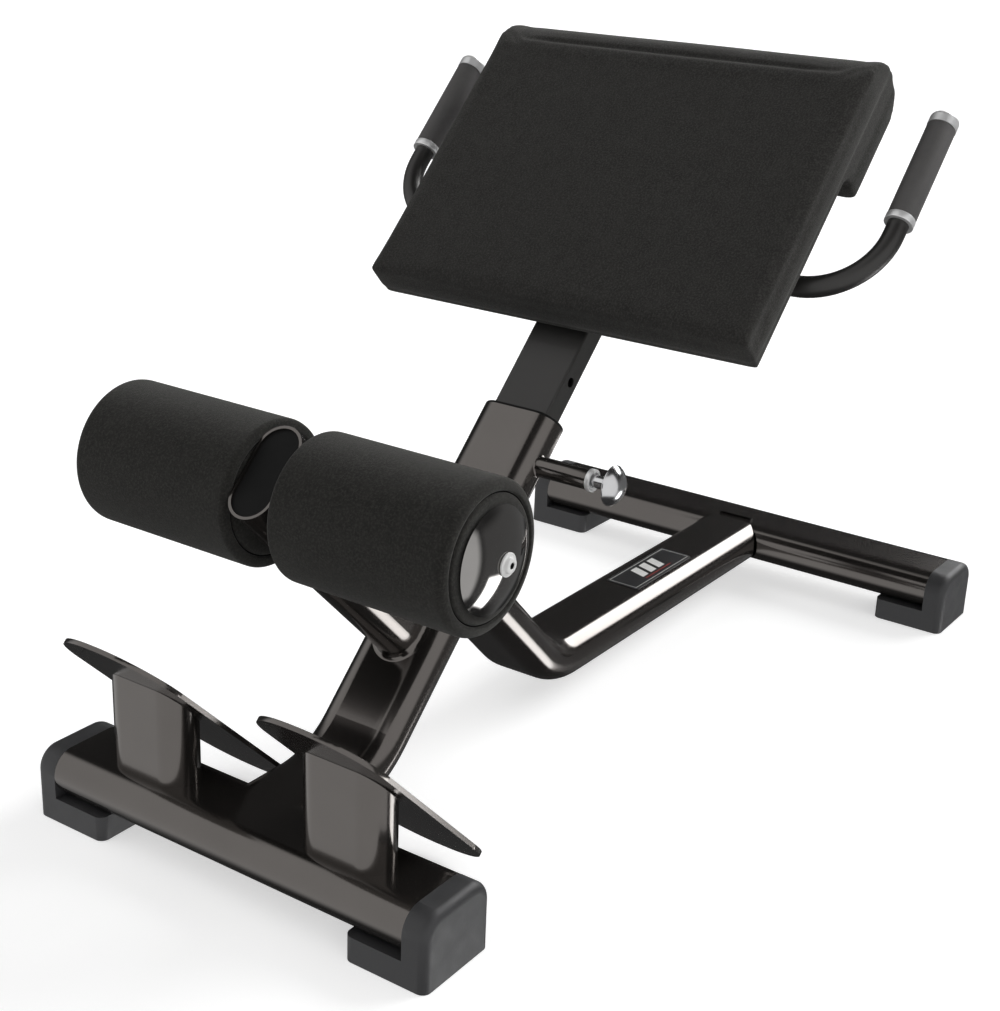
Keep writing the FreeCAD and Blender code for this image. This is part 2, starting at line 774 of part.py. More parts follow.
def make_roller(side, sign):
    """A foam roller on a core tube with two bushes, and what holds it on the axle."""
    def put(body):
        x = f"{FRONT} + (axle_along - roller_off) * sqrt(0.5)"
        z = "(axle_along + roller_off) * sqrt(0.5)"
        place(body, x, "0", z, Vector(0, 0, 1), 0 if sign > 0 else 180)

    foam = turned(f"roller_foam_{side}", tube_points(
        "core_radius", "roller_radius", "roller_inner", "roller_outer"), put)
    rim = number("roller_radius")
    round_edges(foam, "roller_round", lambda e: e.BoundBox.XMax > rim - 0.1 and e.BoundBox.YLength < 0.1)
    turned(f"roller_core_{side}", tube_points(
        "core_radius - core_wall", "core_radius", "roller_inner", "roller_outer - core_short"), put)
    for end, low in (("inner", "roller_inner"), ("outer", "roller_outer - core_short - bush_long")):
        turned(f"roller_bush_{end}_{side}", tube_points(
            "axle_radius + running_gap", "core_radius - core_wall", low, f"{low} + bush_long"), put)
    turned(f"roller_spacer_{side}", tube_points(
        "axle_radius", "spacer_radius", "roller_outer - core_short + end_play", "axle_half"), put)
    inner_crown = "dome_crown - dome_wall"
    turned(f"roller_dome_{side}", [
        ("bolt_radius", inner_crown),
        ("spacer_radius", inner_crown, "dome_curve - dome_wall", "right"),
        ("dome_radius - 2 * dome_wall", "dome_rim"),
        ("dome_radius", "dome_rim", "dome_curve", "left"),
        ("bolt_radius", "dome_crown"),
    ], put)
    turned(f"dome_washer_{side}", tube_points(
        "bolt_radius", "washer_radius", "dome_crown", "dome_crown + washer_thick"), put)
    head = "dome_crown + washer_thick"
    turned(f"dome_bolt_{side}", [
        ("0", f"{head} - bolt_deep"), ("bolt_radius", f"{head} - bolt_deep"),
        ("bolt_radius", head), ("bolt_head_radius", head),
        ("bolt_head_radius", f"{head} + bolt_head_tall / 2", "bolt_head_tall / 2", "left"),
        ("bolt_head_radius - bolt_head_tall / 2", f"{head} + bolt_head_tall"),
        ("socket_radius", f"{head} + bolt_head_tall"), ("socket_radius", f"{head} + socket_floor"),
        ("0", f"{head} + socket_floor"),
    ], put)


# ---------------------------------------------------------------- pad, brackets and board

PAD_BACK = "pad_face + pad_thin"


def place_on_pad(body):
    place_leaning(body, "pad_start", "-pad_face")


def board_outline(sketch):
    box_outline(sketch, "board_margin", "pad_long - board_margin",
                "-(pad_half - board_margin)", "pad_half - board_margin")


def make_pad():
    body = new_body("thigh_pad")
    place_on_pad(body)
    side = new_sketch(body, "XZ_Plane")
    outline(side, [
        ("0", "0"), ("0", "-pad_thin"), ("pad_step", "-pad_thin"),
        ("pad_step", "-pad_deep"), ("pad_long", "-pad_deep"), ("pad_long", "0"),
    ])
    pad(body, side, "2 * pad_half", symmetric=True)
    far = number("pad_long")
    round_edges(body, "pad_end_round", lambda e: runs_along(e, "y") and e.BoundBox.XMin > far - 0.1)
    bed = new_sketch(body, "XY_Plane", "-pad_thin")
    board_outline(bed)
    pocket(body, bed, "board_thick", backwards=True)

    board = new_body("pad_board")
    place_on_pad(board)
    sheet_outline = new_sketch(board, "XY_Plane", "-pad_thin")
    board_outline(sheet_outline)
    pad(board, sheet_outline, "board_thick")
    holes = new_sketch(board, "XY_Plane", "-pad_thin")
    for x, y in pad_bolt_places():
        circle(holes, f"({x}) - pad_start", y, "pad_bolt_radius")
    pocket(board, holes, "board_thick / 2", backwards=True)


def pad_bolt_places():
    """Along the spine and across it, for the four bolts through the brackets."""
    across = "post_wide / 2 + (bracket_leg + bracket_wall) / 2"
    along = ("bracket_start + pad_bolt_inset", "bracket_start + bracket_long - pad_bolt_inset")
    return [(a, f"{sign}({across})") for a in along for sign in ("", "-")]


def make_brackets():
    """An angle each side of the post: one leg on the post, one under the board."""
    for side, sign in (("left", 1), ("right", -1)):
        body = new_body(f"pad_bracket_{side}")
        place_leaning(body, "0", f"-({PAD_BACK})")
        section = new_sketch(body, "YZ_Plane", "bracket_start")
        edge = "post_wide / 2"
        points = [
            (edge, "0"), (f"{edge} + bracket_leg", "0"), (f"{edge} + bracket_leg", "-bracket_wall"),
            (f"{edge} + bracket_wall", "-bracket_wall"), (f"{edge} + bracket_wall", "-bracket_leg"),
            (edge, "-bracket_leg"),
        ]
        outline(section, [(f"{sign} * ({y})", z) for y, z in points])
        pad(body, section, "bracket_long")
        handle_hole = new_sketch(body, "XZ_Plane")
        circle(handle_hole, "handle_along", f"{PAD_BACK} - spine_off", "handle_radius")
        pocket(body, handle_hole)
        holes = new_sketch(body, "XY_Plane")
        for x, y in pad_bolt_places():
            if number(y) * sign > 0:
                circle(holes, x, y, "pad_bolt_radius")
        pocket(body, holes, "bracket_wall")


def make_pad_bolts():
    bolts = []
    for k, (along, across) in enumerate(pad_bolt_places(), start=1):
        head = doc.addObject("Part::Prism", f"pad_bolt_head_{k}")
        head.Polygon = 6
        bind(head, "Circumradius", "pad_bolt_head")
        bind(head, "Height", "pad_bolt_head_tall")
        place_leaning(head, along, f"-({PAD_BACK}) - bracket_wall - pad_bolt_head_tall", across)
        shank = doc.addObject("Part::Cylinder", f"pad_bolt_shank_{k}")
        bind(shank, "Radius", "pad_bolt_radius")
        bind(shank, "Height", "bracket_wall + board_thick / 2")
        place_leaning(shank, along, f"-({PAD_BACK}) - bracket_wall", across)
        bolt = doc.addObject("Part::Fuse", f"pad_bolt_{k}")
        bolt.Base = head
        bolt.Tool = shank
        bolts.append(bolt)
    group("pad_bolts", bolts)


# ---------------------------------------------------------------- handle bar and grips

def make_handle_bar():
    body = new_body("handle_bar")
    place_leaning(body, "0", "-spine_off")
    path = new_sketch(body, "XY_Plane")
    outline(path, [
        ("handle_tip", "-handle_half"),
        ("handle_along + handle_bend", "-handle_half", "handle_bend", "right"),
        ("handle_along", "-handle_half + handle_bend"),
        ("handle_along", "handle_half - handle_bend", "handle_bend", "right"),
        ("handle_along + handle_bend", "handle_half"),
        ("handle_tip", "handle_half"),
    ], closed=False)
    section = new_sketch(body, "YZ_Plane", "handle_tip")
    circle(section, "-handle_half", "0", "handle_radius")
    circle(section, "-handle_half", "0", "handle_radius - handle_wall")
    sweep(body, section, path)


def make_grip(side, sign):
    def put(body):
        place_leaning(body, "0", "-spine_off", f"{sign}handle_half")

    def along(points):
        return [(a, r, *rest) for r, a, *rest in points]

    turned(f"grip_{side}", along(tube_points(
        "handle_radius", "grip_radius", "grip_start", "grip_end")), put, "H_Axis", "XZ_Plane")
    turned(f"grip_collar_{side}", along(tube_points(
        "handle_radius", "grip_metal_radius", "collar_start", "grip_start")), put, "H_Axis", "XZ_Plane")
    cap_end = "grip_end + grip_cap_long"
    turned(f"grip_cap_{side}", [
        ("grip_end", "handle_radius"), ("grip_end", "grip_metal_radius"),
        (f"{cap_end} - grip_cap_round", "grip_metal_radius", "grip_cap_round", "right"),
        (cap_end, "grip_metal_radius - grip_cap_round"), (cap_end, "0"),
        ("handle_tip", "0"), ("handle_tip", "handle_radius"),
    ], put, "H_Axis", "XZ_Plane")


# ---------------------------------------------------------------- plain plate

def make_name_plate():
    body = new_body("name_plate")
    place_level(body, "name_plate_x")
    shape = new_sketch(body, "XY_Plane", "tube_rise + tube_thick / 2")
    box_outline(shape, "-name_plate_long / 2", "name_plate_long / 2",
                "-name_plate_wide / 2", "name_plate_wide / 2")
    pad(body, shape, "name_plate_thick")
    round_edges(body, "name_plate_round", lambda e: runs_along(e, "z"))


# ---------------------------------------------------------------- the whole bench

make_feet()
make_spine()
make_lower_tube()
make_strut()
make_spine_bush()
make_post()
make_pop_pin()
make_axle()
make_pad()
make_brackets()
make_pad_bolts()
make_handle_bar()
make_name_plate()
for side_name, side_sign in (("left", 1), ("right", -1)):
    mark = "" if side_sign > 0 else "-"
    make_foot_rest(side_name, mark)
    make_roller(side_name, side_sign)
    make_grip(side_name, mark)
doc.recompute()

inner_pieces = set()
for thing in doc.Objects:
    if thing.TypeId in ("Part::Fuse", "Part::MultiFuse", "Part::Compound"):
        inner_pieces.update(child.Name for child in thing.OutList)
    if set(thing.State) & {"Invalid", "Error"}:
        raise RuntimeError(f"{thing.Label}: {thing.State}")

KINDS = ("PartDesign::Body", "Part::Compound", "Part::MultiFuse")
nodes = [thing for thing in doc.Objects if thing.TypeId in KINDS and thing.Name not in inner_pieces]
for thing in nodes:
    if thing.Shape.isNull() or not thing.Shape.isValid():
        raise RuntimeError(f"{thing.Label}: no valid shape")

os.makedirs("parts", exist_ok=True)
for thing in nodes:
    thing.Shape.exportStep(f"parts/{thing.Label}.step")
    print(f"{thing.Label:24s} {len(thing.Shape.Solids)} solids {thing.Shape.Volume / 1000:10.2f} cm3")
print(len(nodes), "nodes")
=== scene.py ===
import json
import math

import bmesh
import bpy
from mathutils import Matrix, Vector, noise
from mathutils.bvhtree import BVHTree


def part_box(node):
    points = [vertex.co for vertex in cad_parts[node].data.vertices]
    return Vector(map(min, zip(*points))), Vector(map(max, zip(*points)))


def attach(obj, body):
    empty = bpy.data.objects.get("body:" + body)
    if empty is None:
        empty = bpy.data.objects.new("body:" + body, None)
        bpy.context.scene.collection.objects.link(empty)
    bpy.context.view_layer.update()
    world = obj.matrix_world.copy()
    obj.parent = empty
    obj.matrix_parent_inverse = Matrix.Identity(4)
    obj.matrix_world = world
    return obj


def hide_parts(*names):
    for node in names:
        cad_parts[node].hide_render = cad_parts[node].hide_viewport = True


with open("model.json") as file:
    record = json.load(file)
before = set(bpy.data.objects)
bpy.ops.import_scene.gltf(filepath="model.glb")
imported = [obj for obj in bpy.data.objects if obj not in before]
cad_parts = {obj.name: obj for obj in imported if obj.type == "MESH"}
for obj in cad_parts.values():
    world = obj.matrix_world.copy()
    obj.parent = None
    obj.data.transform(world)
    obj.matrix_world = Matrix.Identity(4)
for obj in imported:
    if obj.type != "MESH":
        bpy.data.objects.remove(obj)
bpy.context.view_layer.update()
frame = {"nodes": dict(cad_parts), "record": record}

SLOPE = math.sqrt(0.5)
SIDES = {"left": 1, "right": -1}
SAME_POINT = 0.00001
nodes = frame["nodes"]


def middle(node):
    """Centre of a CAD node's box."""
    low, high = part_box(node)
    return (low + high) / 2


# The leaning frame of the CAD: local X runs up the spine, local Z stands square to it.
LEANING = Matrix((
    (SLOPE, 0, -SLOPE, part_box("foot_cap_front_left")[0].x),
    (0, 1, 0, 0),
    (SLOPE, 0, SLOPE, 0),
    (0, 0, 0, 1),
))


def leaning_box(node):
    """Lowest and highest corner of a CAD node in the leaning frame."""
    turned = [LEANING.inverted() @ v.co for v in nodes[node].data.vertices]
    low = Vector([min(v[k] for v in turned) for k in range(3)])
    high = Vector([max(v[k] for v in turned) for k in range(3)])
    return low, high


# ------------------------------------------------------------------ materials

class Look:
    """A node material, with short calls that wire its nodes."""

    def __init__(self, name, colour, **sockets):
        self.material = bpy.data.materials.new(name)
        self.material.use_nodes = True
        self.tree = self.material.node_tree
        self.shader = next(n for n in self.tree.nodes if n.type == "BSDF_PRINCIPLED")
        self.shader.inputs["Base Color"].default_value = (*colour, 1)
        for socket, value in sockets.items():
            name_of = socket.replace("_", " ").title().replace("Ior", "IOR")
            self.shader.inputs[name_of].default_value = value
        self.where = self.tree.nodes.new("ShaderNodeTexCoord").outputs["Object"]

    def node(self, kind, **settings):
        made = self.tree.nodes.new(f"ShaderNode{kind}")
        for setting, value in settings.items():
            setattr(made, setting, value)
        return made

    def link(self, out, into):
        self.tree.links.new(out, into)

    def noise(self, scale, detail=4, roughness=0.6, stretch=(1, 1, 1)):
        mapping = self.node("Mapping")
        mapping.inputs["Scale"].default_value = stretch
        self.link(self.where, mapping.inputs["Vector"])
        made = self.node("TexNoise")
        made.inputs["Scale"].default_value = scale
        made.inputs["Detail"].default_value = detail
        made.inputs["Roughness"].default_value = roughness
        self.link(mapping.outputs["Vector"], made.inputs["Vector"])
        return made.outputs["Fac"]

    def ramp(self, value, low, high, start=0.3, end=0.7):
        """A value from low to high as the input goes from start to end."""
        made = self.node("MapRange", clamp=True)
        for name, number in (("From Min", start), ("From Max", end), ("To Min", low), ("To Max", high)):
            made.inputs[name].default_value = number
        self.link(value, made.inputs["Value"])
        return made.outputs["Result"]

    def tint(self, factor, dark, light, before=None):
        """Mix two colours by a factor; with before, the dark one is that colour socket."""
        made = self.node("Mix", data_type="RGBA")
        self.link(factor, made.inputs["Factor"])
        if before is None:
            made.inputs["A"].default_value = (*dark, 1)
        else:
            self.link(before, made.inputs["A"])
        made.inputs["B"].default_value = (*light, 1)
        return made.outputs["Result"]

    def colour(self, socket):
        self.link(socket, self.shader.inputs["Base Color"])

    def roughness(self, socket):
        self.link(socket, self.shader.inputs["Roughness"])

    def bump(self, height, strength, distance, before=None):
        made = self.node("Bump")
        made.inputs["Strength"].default_value = strength
        made.inputs["Distance"].default_value = distance
        self.link(height, made.inputs["Height"])
        if before is not None:
            self.link(before, made.inputs["Normal"])
        self.link(made.outputs["Normal"], self.shader.inputs["Normal"])
        return made.outputs["Normal"]


def scaled(colour, share):
    """A colour made darker or lighter."""
    return tuple(c * share for c in colour)


def warm(colour, share):
    """A colour made darker or lighter, and a little less blue."""
    tones = (1.04, 1.0, 0.94)
    return tuple(c * share * tone for c, tone in zip(colour, tones))


def painted(name, colour, metallic, rough, coat, flake=0.06):
    """Satin metallic paint: fine flake, slight orange peel and a clear coat."""
    look = Look(name, colour, metallic=metallic, coat_weight=coat, coat_roughness=0.08)
    flakes = look.noise(1500, 2, 0.5)
    clouds = look.noise(9, 3, 0.5)
    base = look.tint(look.ramp(clouds, 0, 1), scaled(colour, 0.94), scaled(colour, 1.05))
    look.colour(look.tint(look.ramp(flakes, 0, 0.3, 0.5, 0.75), colour, scaled(colour, 1.4), base))
    look.roughness(look.ramp(flakes, rough - flake, rough + flake))
    peel = look.bump(look.noise(420, 2, 0.5), 0.03, 0.0004)
    look.bump(flakes, 0.02, 0.0001, peel)
    return look


def suede(name, colour, grain=1.0):
    """Brushed synthetic suede: short nap, soft mottling and a faint woven backing."""
    look = Look(name, colour, sheen_weight=0.22, sheen_roughness=0.55, specular_ior_level=0.18)
    look.shader.inputs["Sheen Tint"].default_value = (0.62, 0.62, 0.6, 1)
    nap = look.noise(1500 * grain, 6, 0.72)
    threads = look.noise(950 * grain, 2, 0.5, (1, 0.35, 1))
    rubbed = look.noise(60, 6, 0.66)
    broad = look.noise(5, 3, 0.5)
    tufts = look.noise(430 * grain, 3, 0.7)
    base = look.tint(look.ramp(rubbed, 0, 1, 0.36, 0.66), scaled(colour, 0.8), scaled(colour, 1.2))
    base = look.tint(look.ramp(broad, 0, 0.16), colour, scaled(colour, 0.75), base)
    base = look.tint(look.ramp(tufts, 0, 0.7, 0.46, 0.62), colour, scaled(colour, 2.3), base)
    look.colour(look.tint(look.ramp(nap, 0, 0.55, 0.5, 0.78), colour, scaled(colour, 2.1), base))
    look.roughness(look.ramp(nap, 0.86, 0.98))
    woven = look.bump(threads, 0.25, 0.0004)
    nap_bump = look.bump(nap, 0.55, 0.0006, woven)
    tuft_bump = look.bump(tufts, 0.35, 0.0008, nap_bump)
    look.bump(rubbed, 0.12, 0.0010, tuft_bump)
    return look


def moulded(name, colour, rough, grain=900, depth=0.0004, **sockets):
    """Moulded rubber or plastic with an eroded grain and faint scuffing."""
    look = Look(name, colour, **sockets)
    fine = look.noise(grain, 4, 0.6)
    scuffs = look.noise(45, 6, 0.7)
    base = look.tint(look.ramp(scuffs, 0, 1, 0.35, 0.75), scaled(colour, 0.9), scaled(colour, 1.22))
    look.colour(look.tint(look.ramp(fine, 0, 0.4, 0.5, 0.8), colour, scaled(colour, 1.5), base))
    look.roughness(look.ramp(scuffs, rough - 0.06, rough + 0.1))
    look.bump(fine, 0.3, depth)
    return look


def metal(name, colour, rough, stretch=(1, 1, 1), brushed=0.0, metallic=1.0, **sockets):
    """Bare or plated metal; brushed along whichever axis is stretched."""
    look = Look(name, colour, metallic=metallic, **sockets)
    lines = look.noise(700, 3, 0.6, stretch)
    stains = look.noise(30, 5, 0.6)
    look.colour(look.tint(look.ramp(stains, 0, 1), scaled(colour, 0.95), scaled(colour, 1.03)))
    look.roughness(look.ramp(lines, max(rough - 0.03 - brushed, 0.02), rough + 0.03 + brushed))
    look.bump(lines, 0.005 + brushed, 0.0002)
    return look


def stained_wood(name, colour):
    """Dark stained plywood with stretched grain and open pores."""
    look = Look(name, colour, coat_weight=0.1, specular_ior_level=0.35)
    grain = look.noise(30, 8, 0.65, (0.6, 6, 0.6))
    pores = look.noise(600, 3, 0.6, (0.3, 3, 0.3))
    base = look.tint(look.ramp(grain, 0, 1), scaled(colour, 0.6), scaled(colour, 1.5))
    look.colour(look.tint(look.ramp(pores, 0, 0.5, 0.5, 0.8), colour, scaled(colour, 0.35), base))
    look.roughness(look.ramp(grain, 0.5, 0.72))
    look.bump(pores, 0.3, 0.0003)
    return look


# The record's colours are scaled here so that the render comes out like the photograph.
colours = {m["slot"]: tuple(m["base_color"]) for m in frame["record"]["materials"]}
looks = {
    "frame_paint": painted("frame_paint", colours["frame_paint"], 0.9, 0.17, 0.35, 0.04),
    "post_paint": painted("post_paint", scaled(colours["post_paint"], 0.72), 0.6, 0.42, 0.1),
    "upholstery": suede("upholstery", warm(colours["upholstery"], 0.8)),
    "foam": suede("foam", warm(colours["foam"], 0.5), 0.9),
    "foot_rubber": moulded("foot_rubber", scaled(colours["foot_rubber"], 0.55), 0.5, specular_ior_level=0.5),
    "grip_rubber": moulded("grip_rubber", warm(colours["foot_rubber"], 1.4), 0.6, 1300, 0.0005),
    "chrome": metal("chrome", scaled(colours["chrome"], 0.8), 0.2),
    "dark_chrome": metal(
        "dark_chrome", scaled(colours["dark_chrome"], 1.8), 0.07, coat_weight=0.2, coat_roughness=0.03),
    "aluminium": metal("aluminium", scaled(colours["aluminium"], 1.3), 0.42, (0.2, 0.2, 0.2), 0.05, 0.6),
    "steel": metal("steel", scaled(colours["steel"], 1.6), 0.32, (1, 1, 1), 0.04, 0.35),
    "black_plastic": moulded(
        "black_plastic", scaled(colours["black_plastic"], 0.4), 0.6, 1100, 0.0002, specular_ior_level=0.12),
    "plywood": stained_wood("plywood", colours["plywood"]),
    "plate_black": painted("plate_black", scaled(colours["plate_black"], 0.5), 0.3, 0.35, 0.2),
}
# Two finishes of single pieces, beside those of the slots: a near-black thread, also used as painted shade in
# the screw sockets, and a pale, nearly matt finish that is a painted reflection on the end washers and
# screws.
looks["seam_thread_and_painted_shade"] = moulded("seam_thread_and_painted_shade", (0.004, 0.004, 0.004), 0.9, specular_ior_level=0.05)
looks["pale_painted_reflection"] = metal("pale_painted_reflection", (0.86, 0.86, 0.85), 0.45, (1, 1, 1), 0.02, 0.05)


def dress(piece, slot, body, look=None):
    """Give a new piece the finish of its slot, or the finish that look names, and the body it moves with."""
    piece.data.materials.clear()
    piece.data.materials.append(looks[look or slot].material)
    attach(piece, body)


# The CAD nodes that stay get the finish of their slot.
slot_of = {s["node"]: s["material_slot"] for s in frame["record"]["subparts"]}
for name, thing in nodes.items():
    for k in range(len(thing.data.materials)):
        thing.data.materials[k] = looks[slot_of[name]].material


# ------------------------------------------------------------------ mesh helpers

def new_piece(name, mesh_maker, smooth_angle=40):
    """A mesh object from a function that fills a bmesh; edges above the angle are sharp."""
    work = bmesh.new()
    mesh_maker(work)
    bmesh.ops.recalc_face_normals(work, faces=work.faces)
    mesh = bpy.data.meshes.new(name)
    work.to_mesh(mesh)
    work.free()
    mesh.shade_smooth()
    mesh.set_sharp_from_angle(angle=math.radians(smooth_angle))
    piece = bpy.data.objects.new(name, mesh)
    bpy.context.scene.collection.objects.link(piece)
    return piece


def axle_matrix(node, sign):
    """Local Z along +Y or -Y from the centre plane, on the axis of a node that lies across the bench."""
    centre = middle(node)
    turn = Matrix.Rotation(math.radians(-90 * sign), 4, "X")
    return Matrix.Translation((centre.x, 0, centre.z)) @ turn


def turned_shape(profile, steps, closed=True, facets=()):
    """Turn (radius, height) points about local Z; the points listed in facets are made hexagonal."""
    def make(work):
        rings = []
        for k, (radius, height) in enumerate(profile):
            ring = []
            for step in range(steps):
                angle = 2 * math.pi * step / steps
                reach = radius
                if k in facets:
                    reach = radius / math.cos((angle % (math.pi / 3)) - math.pi / 6)
                ring.append(work.verts.new((reach * math.cos(angle), reach * math.sin(angle), height)))
            rings.append(ring)
        count = len(rings)
        for k in range(count if closed else count - 1):
            ring, after = rings[k], rings[(k + 1) % count]
            for step in range(steps):
                nxt = (step + 1) % steps
                work.faces.new((ring[step], ring[nxt], after[nxt], after[step]))
        if not closed:
            for ring in (rings[0], rings[-1]):
                work.faces.new(ring)
    return make


def rounded(points, radii, steps=6):
    """Round the corners of a closed profile: one radius for each point, 0 keeps it sharp."""
    out = []
    count = len(points)
    for k, (x, y) in enumerate(points):
        here = Vector((x, y))
        if radii[k] <= 0:
            out.append((x, y))
            continue
        back = (Vector(points[k - 1]) - here).normalized()
        ahead = (Vector(points[(k + 1) % count]) - here).normalized()
        half = back.angle(ahead) / 2
        reach = radii[k] / math.tan(half)
        centre = here + (back + ahead).normalized() * (radii[k] / math.sin(half))
        start, end = here + back * reach - centre, here + ahead * reach - centre
        sweep = start.angle_signed(end)
        for step in range(steps + 1):
            turned = Matrix.Rotation(-sweep * step / steps, 2) @ start
            out.append(tuple(centre + turned))
    return out


def spaced(points, gap):
    """Add points to a closed profile so that none are further apart than gap."""
    out = []
    for k, point in enumerate(points):
        start, end = Vector(point), Vector(points[(k + 1) % len(points)])
        parts = max(1, math.ceil((end - start).length / gap))
        out += [tuple(start.lerp(end, step / parts)) for step in range(parts)]
    return out


def thread_along(name, points, radius):
    """A closed round thread that follows points in the row frame."""
    curve = bpy.data.curves.new(name, "CURVE")
    curve.dimensions = "3D"
    curve.bevel_depth = radius
    curve.bevel_resolution = 2
    spline = curve.splines.new("POLY")
    spline.points.add(len(points) - 1)
    for point, place in zip(spline.points, points):
        point.co = (*place, 1)
    spline.use_cyclic_u = True
    holder = bpy.data.objects.new(name + "_line", curve)
    mesh = bpy.data.meshes.new_from_object(holder)
    bpy.data.objects.remove(holder)
    mesh.name = name
    mesh.shade_smooth()
    piece = bpy.data.objects.new(name, mesh)
    bpy.context.scene.collection.objects.link(piece)
    return piece


def joined(name, pieces):
    """Several pieces as one object."""
    work = bmesh.new()
    for piece in pieces:
        mesh = piece.data.copy()
        mesh.transform(piece.matrix_world)
        work.from_mesh(mesh)
        bpy.data.meshes.remove(mesh)
        bpy.data.objects.remove(piece)
    mesh = bpy.data.meshes.new(name)
    work.to_mesh(mesh)
    work.free()
    made = bpy.data.objects.new(name, mesh)
    bpy.context.scene.collection.objects.link(made)
    return made


def soften(node, width):
    """Break the sharp edges of a CAD node that stays, with a small bevel."""
    angle = 32
    thing = nodes[node]
    merge = thing.modifiers.new("weld", "WELD")
    merge.merge_threshold = SAME_POINT
    bevel = thing.modifiers.new("bevel", "BEVEL")
    bevel.width = width
    bevel.segments = 3
    bevel.limit_method = "ANGLE"
    bevel.angle_limit = math.radians(angle)
    bevel.harden_normals = True
    bevel.use_clamp_overlap = True


# ------------------------------------------------------------------ fillet welds

def surface_of(piece):
    """A tree of an object's faces, for the nearest point on it."""
    return BVHTree.FromObject(piece, bpy.context.evaluated_depsgraph_get())


def rim_on(node, other):
    """The longest line of points where sharp edges of one CAD node lie on another's surface."""
    near, sharp_angle = 0.0007, math.radians(25)
    work = bmesh.new()
    work.from_mesh(nodes[node].data)
    bmesh.ops.remove_doubles(work, verts=work.verts, dist=SAME_POINT)
    surface = surface_of(nodes[other])
    touching = set()
    for vertex in work.verts:
        found = surface.find_nearest(vertex.co, near)
        if found[0] is not None:
            touching.add(vertex)
    edges = {}
    for edge in work.edges:
        sharp = len(edge.link_faces) == 2 and edge.calc_face_angle(0) > sharp_angle
        if sharp and all(v in touching for v in edge.verts):
            edges[edge] = True
    loops = []
    while edges:
        edge = next(iter(edges))
        del edges[edge]
        chain = list(edge.verts)
        growing = True
        while growing:
            growing = False
            for end in (0, -1):
                step = next((e for e in chain[end].link_edges if e in edges), None)
                if step is not None:
                    del edges[step]
                    chain.insert(0 if end == 0 else len(chain), step.other_vert(chain[end]))
                    growing = True
        loops.append([v.co.copy() for v in chain])
    work.free()
    return max(loops, key=length_of)


def length_of(points):
    """Length of a line through points."""
    return sum((b - a).length for a, b in zip(points, points[1:]))


def evenly(points, gap, closed):
    """The same line with points at even spacing."""
    line = points + [points[0]] if closed else points
    total = length_of(line)
    least = 8
    count = max(least, round(total / gap))
    out, at, passed = [], 0, 0.0
    for k in range(count + (0 if closed else 1)):
        want = total * k / count
        while at < len(line) - 2 and passed + (line[at + 1] - line[at]).length < want:
            passed += (line[at + 1] - line[at]).length
            at += 1
        span = (line[at + 1] - line[at]).length
        share = min(max((want - passed) / span, 0), 1) if span > 0 else 0
        out.append(line[at].lerp(line[at + 1], share))
    return out


def weld(name, node, other, radius, body="frame", slot="frame_paint"):
    """A smooth ground fillet weld where one node stands on another.

    Each row of points is an arc from the standing node's wall to the ground it stands on, with its
    ends sunk just under both surfaces, and one more point in the corner behind the arc.
    """
    wall, ground = surface_of(nodes[node]), surface_of(nodes[other])
    arc, gap, sink = 10, 0.002, 0.00012
    uneven, ripple = 0.06, 90
    loop = rim_on(node, other)
    closed = (loop[0] - loop[-1]).length < gap
    work = bmesh.new()
    facing = {}
    rows = []
    for point in evenly(loop[:-1] if closed else loop, gap, closed):
        below = ground.find_nearest(point)[1]
        beside = wall.find_nearest(point + below * radius)[1]
        size = radius * (1 + uneven * noise.noise(point * ripple))
        turn = (below + beside).normalized()
        centre = point + turn * (size / max(turn.dot(beside), 0.3))
        row = []
        for k in range(arc + 1):
            share = k / arc
            reach = beside.slerp(below, share)
            spot = centre - reach * size
            for surface, weight in ((ground, share), (wall, 1 - share)):
                hit, normal = surface.find_nearest(spot)[:2]
                lift = (spot - hit).dot(normal)
                spot -= normal * (lift + sink) * weight ** 3
            row.append(work.verts.new(spot))
            facing[row[-1]] = reach
        row.append(work.verts.new(point - (below + beside) * sink))
        facing[row[-1]] = -turn
        rows.append(row)
    after = rows[1:] + rows[:1] if closed else rows[1:]
    for row, follow in zip(rows, after):
        for k in range(len(row)):
            step = (k + 1) % len(row)
            work.faces.new((row[k], row[step], follow[step], follow[k]))
    if not closed:
        work.faces.new(rows[0])
        work.faces.new(rows[-1][::-1])
    bmesh.ops.recalc_face_normals(work, faces=work.faces)
    shading = [facing[v] for v in work.verts]
    mesh = bpy.data.meshes.new(name)
    work.to_mesh(mesh)
    work.free()
    mesh.shade_smooth()
    mesh.normals_split_custom_set_from_vertices(shading)
    piece = bpy.data.objects.new(name, mesh)
    bpy.context.scene.collection.objects.link(piece)
    dress(piece, slot, body)


# ------------------------------------------------------------------ stuffed pieces

def swell(piece, pinned, pressure, cap):
    """Blow a closed mesh up as cloth, hold the pinned points, and keep steps up to the cap."""
    frames = 20
    rest = [v.co.copy() for v in piece.data.vertices]
    held = piece.vertex_groups.new(name="held")
    held.add([k for k, co in enumerate(rest) if pinned(co)], 1.0, "REPLACE")
    cloth = piece.modifiers.new("swell", "CLOTH")
    settings = cloth.settings
    settings.quality = 4
    settings.mass = 0.3
    settings.tension_stiffness = settings.compression_stiffness = 18
    settings.shear_stiffness = 8
    settings.bending_stiffness = 2
    settings.use_pressure = True
    settings.uniform_pressure_force = pressure
    settings.effector_weights.gravity = 0
    settings.vertex_group_mass = "held"
    cloth.collision_settings.use_collision = False
    cloth.point_cache.frame_start = 1
    cloth.point_cache.frame_end = frames
    for step in range(1, frames + 1):
        bpy.context.scene.frame_set(step)
    shown = piece.evaluated_get(bpy.context.evaluated_depsgraph_get())
    moved = [v.co.copy() for v in shown.data.vertices]
    piece.modifiers.clear()
    bpy.context.scene.frame_set(1)
    for vertex, start, end in zip(piece.data.vertices, rest, moved):
        step = end - start
        if step.length > cap:
            step *= cap / step.length
        vertex.co = start + step


